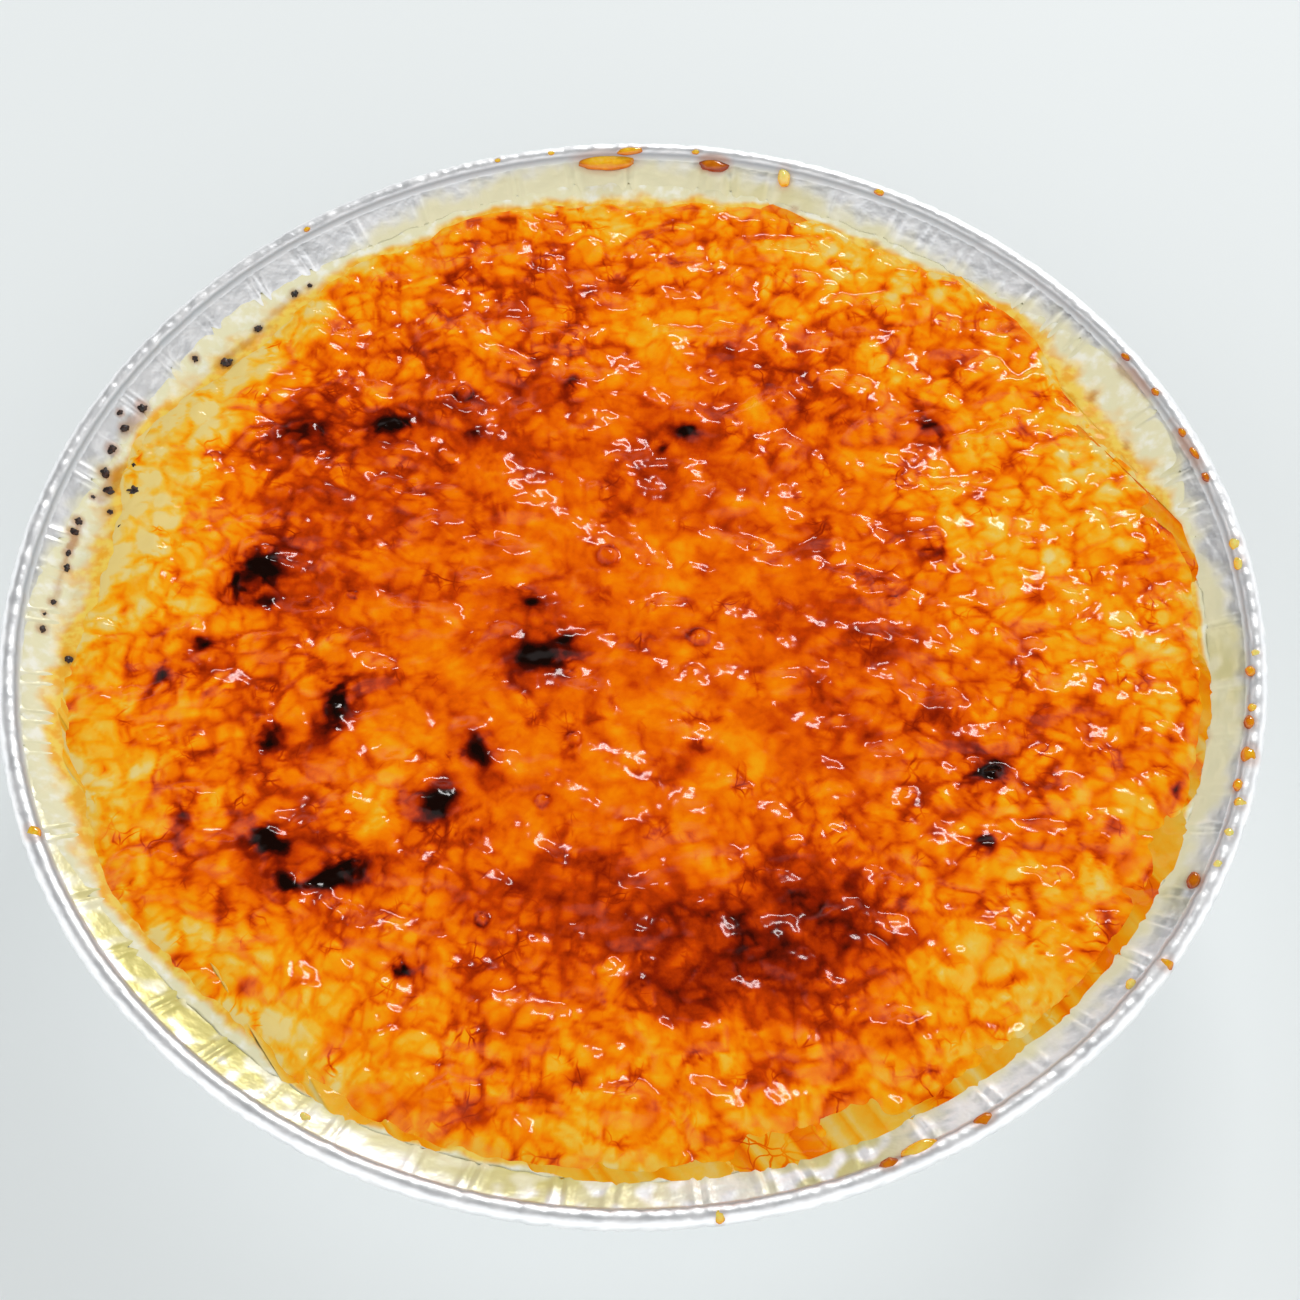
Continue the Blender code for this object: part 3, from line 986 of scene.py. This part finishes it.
def foil_material():
    """Dull foil, smeared with custard and thin syrup, with painted shade in the groove at the bead's
    foot.
    """
    material, nodes, shader, place = new_material("foil_looks")
    film = attribute(nodes, "film")
    syrup = attribute(nodes, "syrup")
    smears = nodes.noise(place, 2.6, 2.0, at=5)
    colour = nodes.colour_mix(nodes.remap(smears, 0.35, 0.7), FOIL_COLOUR, FOIL_BRIGHT)
    colour = nodes.colour_mix(film, colour, FILM_COLOUR)
    colour = nodes.colour_mix(nodes.times(syrup, 0.8), colour, SYRUP_COLOUR)
    # The groove at the bead's foot gets painted shade, a dull dark grey.
    groove = attribute(nodes, "groove")
    colour = nodes.colour_mix(groove, colour, GROOVE_SHADE_COLOUR)
    stain = attribute(nodes, "stain")
    colour = nodes.colour_mix(stain, colour, STAIN_COLOUR)
    nodes.feed(shader.inputs["Base Color"], colour)
    covered = nodes.math("MAXIMUM", film, nodes.times(syrup, 0.5))
    covered = nodes.math("MAXIMUM", covered, nodes.math("MAXIMUM", stain, groove))
    metallic = nodes.remap(covered, 0, 1, METALLIC_CLEAN, METALLIC_SMEARED)
    nodes.feed(shader.inputs["Metallic"], metallic)
    rough = nodes.remap(smears, 0.3, 0.7, 0.32, 0.4)
    rough = nodes.plus(rough, nodes.times(attribute(nodes, "bead"), 0.1))
    nodes.feed(shader.inputs["Roughness"], rough)
    nodes.feed(shader.inputs["Normal"], nodes.bump(nodes.noise(place, 1.2, 2.0, at=35), 0.12, 0.6))
    return material


# ---------------------------------------------------------------- small pieces


def blob(shape, centre, half_sizes, degrees, seed, roughness):
    """A rounded lump added to a shape. Its half sizes are along its length, its width and upwards."""
    made = bmesh.ops.create_icosphere(shape, subdivisions=3, radius=1)["verts"]
    turn = Matrix.Rotation(math.radians(degrees), 3, "Z")
    unit = np.array([vertex.co for vertex in made])
    bumps = soft_noise(unit[:, 0] * 10 + seed * 13, unit[:, 1] * 10 + unit[:, 2] * 7, 6, 90)
    for vertex, bump in zip(made, bumps):
        spread = vertex.co * (1 + roughness * bump)
        sized = Vector((spread.x * half_sizes[0], spread.y * half_sizes[1], spread.z * half_sizes[2]))
        vertex.co = turn @ sized + Vector(centre)
    return made


def finish_blobs(name, shape, material, tones_with_painted_light=None):
    """One piece from all the lumps of a shape."""
    bmesh.ops.scale(shape, vec=(MM, MM, MM), verts=shape.verts)
    mesh = bpy.data.meshes.new(name)
    shape.to_mesh(mesh)
    shape.free()
    mesh.shade_smooth()
    piece = bpy.data.objects.new(name, mesh)
    bpy.context.scene.collection.objects.link(piece)
    register(piece, None)
    if tones_with_painted_light is not None:
        store(piece, "tone", tones_with_painted_light)
    mesh.materials.append(material)


def surface_height(radius):
    """Height of whatever shows at this radius outside the crust: custard, shoulder or bead."""
    across = (radius - BEAD_CENTRE[0]) / BEAD_HALF_WIDTH
    if across > -0.95:
        return BEAD_CENTRE[1] + BEAD_HALF_HEIGHT * math.sqrt(max(0.0, 1 - across * across))
    return max(CUSTARD_LEVEL, float(shoulder_height(radius)))


def make_splashes(material):
    """Drops and smears of caramel on the foil."""
    shape = bmesh.new()
    tones_with_painted_light = []
    for seed, (x, y, half_length, half_width, degrees, tone) in enumerate(SPLASHES):
        height = surface_height(math.hypot(x, y))
        thickness = 0.6 * half_width
        centre = (x, y, min(height, RIM_TOP - thickness * 1.1))
        made = blob(shape, centre, (half_length, half_width, thickness), degrees, seed, 0.12)
        # Painted light: each drop's top is painted lighter, as if light came through its thick middle,
        # and its rim is painted darker.
        tones_with_painted_light += [tone + 0.3 - 0.5 * (vertex.co.z - centre[2]) / thickness for vertex in made]
    finish_blobs("caramel_splashes", shape, material, tones_with_painted_light)


SPLASH_TONES = (
    (0.0, (0.92, 0.72, 0.20)),
    (0.3, (0.88, 0.48, 0.02)),
    (0.6, (0.72, 0.22, 0.005)),
    (1.0, (0.30, 0.035, 0.002)),
)


def splash_material():
    """Clear caramel, from yellow to dark amber."""
    material, nodes, shader, place = new_material("splash_looks")
    mottle = nodes.times(nodes.noise(place, 0.8, 2.0), 0.4)
    # The tone from the mesh carries each drop's painted light: a lighter top and a darker rim.
    tone = nodes.plus(attribute(nodes, "tone"), mottle, -0.2)
    nodes.feed(shader.inputs["Base Color"], nodes.ramp(tone, SPLASH_TONES))
    shader.inputs["Roughness"].default_value = 0.08
    shader.inputs["Subsurface Weight"].default_value = 0.4
    shader.inputs["Subsurface Radius"].default_value = (1.0, 0.4, 0.1)
    shader.inputs["Subsurface Scale"].default_value = 0.8 * MM
    return material


def make_specks(material):
    """Beads of sugar burnt black, on the pale margin."""
    shape = bmesh.new()
    for seed, (x, y, diameter) in enumerate(SPECKS):
        height = surface_height(math.hypot(x, y)) + 0.12
        size = 0.4 * diameter
        blob(shape, (x, y, height - 0.05), (size * 1.15, size * 0.9, size * 0.6), seed * 37, seed, 0.45)
    finish_blobs("burnt_specks", shape, material)


CHAR_BLACK = (0.008, 0.005, 0.004)
CHAR_BROWN = (0.07, 0.018, 0.006)


def char_material():
    """Gritty black sugar."""
    material, nodes, shader, place = new_material("char_looks")
    grit = nodes.noise(place, 0.3, 3.0)
    colour = nodes.colour_mix(nodes.remap(grit, 0.4, 0.75), CHAR_BLACK, CHAR_BROWN)
    nodes.feed(shader.inputs["Base Color"], colour)
    nodes.feed(shader.inputs["Roughness"], nodes.remap(grit, 0.3, 0.7, 0.35, 0.6))
    nodes.feed(shader.inputs["Normal"], nodes.bump(grit, 0.05, 0.8))
    return material


# ---------------------------------------------------------------- stage


FLOOR_COLOUR = (0.50, 0.52, 0.52, 1)
FLOOR_GLOW_COLOUR = (0.95, 1.0, 1.0, 1)
FLOOR_GLOW = 0.33


def make_stage():
    """The plain pale floor."""
    shape = bmesh.new()
    bmesh.ops.create_grid(shape, x_segments=1, y_segments=1, size=3)
    mesh = bpy.data.meshes.new("floor")
    shape.to_mesh(mesh)
    shape.free()
    floor = bpy.data.objects.new("floor", mesh)
    bpy.context.scene.collection.objects.link(floor)
    material = bpy.data.materials.new("floor")
    material.use_nodes = True
    shader = material.node_tree.nodes["Principled BSDF"]
    shader.inputs["Base Color"].default_value = FLOOR_COLOUR
    # A faint glow of its own keeps the dish's shadow as soft as on a shiny white table.
    shader.inputs["Emission Color"].default_value = FLOOR_GLOW_COLOUR
    shader.inputs["Emission Strength"].default_value = FLOOR_GLOW
    shader.inputs["Roughness"].default_value = 0.6
    mesh.materials.append(material)


# The window is a long lamp, high up behind the dish. Its size, distance and target are in metres.
WINDOW_DIRECTION = (0.21, 0.79, 0.57)
WINDOW_LONG_SIDE = (0.82, -0.57, 0)
WINDOW_SIZE = (0.60, 0.19)
WINDOW_DISTANCE = 2.0
WINDOW_TARGET = (0, 0, 0.02)
WINDOW_WATTS = 16.5

# The rest of the room is bright but for a dark ceiling, so that the glaze keeps its colour. The
# edges are cosines of the angle from its middle.
SKY_COLOUR = (0.98, 0.99, 1.0, 1)
SKY_STRENGTH = 1.30
CEILING_DIRECTION = (0.0, 0.5, 0.866)
CEILING_EDGES = (0.52, 0.84)
CEILING_STRENGTH = 0.04

# The camera looks at the rim's height. The target is in millimetres, the distance in metres.
CAMERA_ELEVATION = math.radians(58.70)
CAMERA_ROLL = math.radians(-0.29)
CAMERA_TARGET = Vector((1.65, -3.74, RIM_TOP)) * MM
CAMERA_DISTANCE = 0.25
CAMERA_LENS = 73.60
CAMERA_SENSOR = 36


def facing(across, up, back, place):
    """The matrix of a camera or lamp with these axes: it looks away from back."""
    return Matrix((*zip(across, up, back, place), (0, 0, 0, 1)))


def make_camera():
    """The camera, above the near side of the dish."""
    data = bpy.data.cameras.new("camera")
    data.lens = CAMERA_LENS
    data.sensor_width = CAMERA_SENSOR
    data.clip_start = 0.01
    camera = bpy.data.objects.new("camera", data)
    bpy.context.scene.collection.objects.link(camera)
    back = Vector((0, -math.cos(CAMERA_ELEVATION), math.sin(CAMERA_ELEVATION)))
    right = Vector((1, 0, 0))
    up = back.cross(right)
    local_x = right * math.cos(CAMERA_ROLL) + up * math.sin(CAMERA_ROLL)
    local_y = up * math.cos(CAMERA_ROLL) - right * math.sin(CAMERA_ROLL)
    place = CAMERA_TARGET + back * CAMERA_DISTANCE
    camera.matrix_world = facing(local_x, local_y, back, place)
    bpy.context.scene.camera = camera


def make_window():
    """The lamp that gives the glaze its highlights."""
    data = bpy.data.lights.new("window", "AREA")
    data.shape = "RECTANGLE"
    data.size, data.size_y = WINDOW_SIZE
    data.energy = WINDOW_WATTS
    lamp = bpy.data.objects.new("window", data)
    bpy.context.scene.collection.objects.link(lamp)
    back = Vector(WINDOW_DIRECTION).normalized()
    across = Vector(WINDOW_LONG_SIDE)
    across = (across - back * across.dot(back)).normalized()
    place = back * WINDOW_DISTANCE + Vector(WINDOW_TARGET)
    lamp.matrix_world = facing(across, back.cross(across), back, place)


def make_room():
    """The light from all round."""
    world = bpy.data.worlds.new("studio")
    world.use_nodes = True
    bpy.context.scene.world = world
    nodes = Nodes(world.node_tree)
    sky = world.node_tree.nodes["Background"]
    direction = nodes.add("ShaderNodeTexCoord").outputs["Generated"]
    values = {0: direction, 1: CEILING_DIRECTION}
    towards = nodes.add("ShaderNodeVectorMath", values, operation="DOT_PRODUCT").outputs["Value"]
    strength = nodes.remap(towards, *CEILING_EDGES, SKY_STRENGTH, CEILING_STRENGTH)
    nodes.feed(sky.inputs["Strength"], strength)
    sky.inputs["Color"].default_value = SKY_COLOUR


make_camera()
make_room()
make_window()
bpy.context.scene.view_settings.view_transform = "Standard"
make_stage()
make_dish(foil_material())
make_custard(custard_material())
make_crust(caramel_material())
make_splashes(splash_material())
make_specks(char_material())
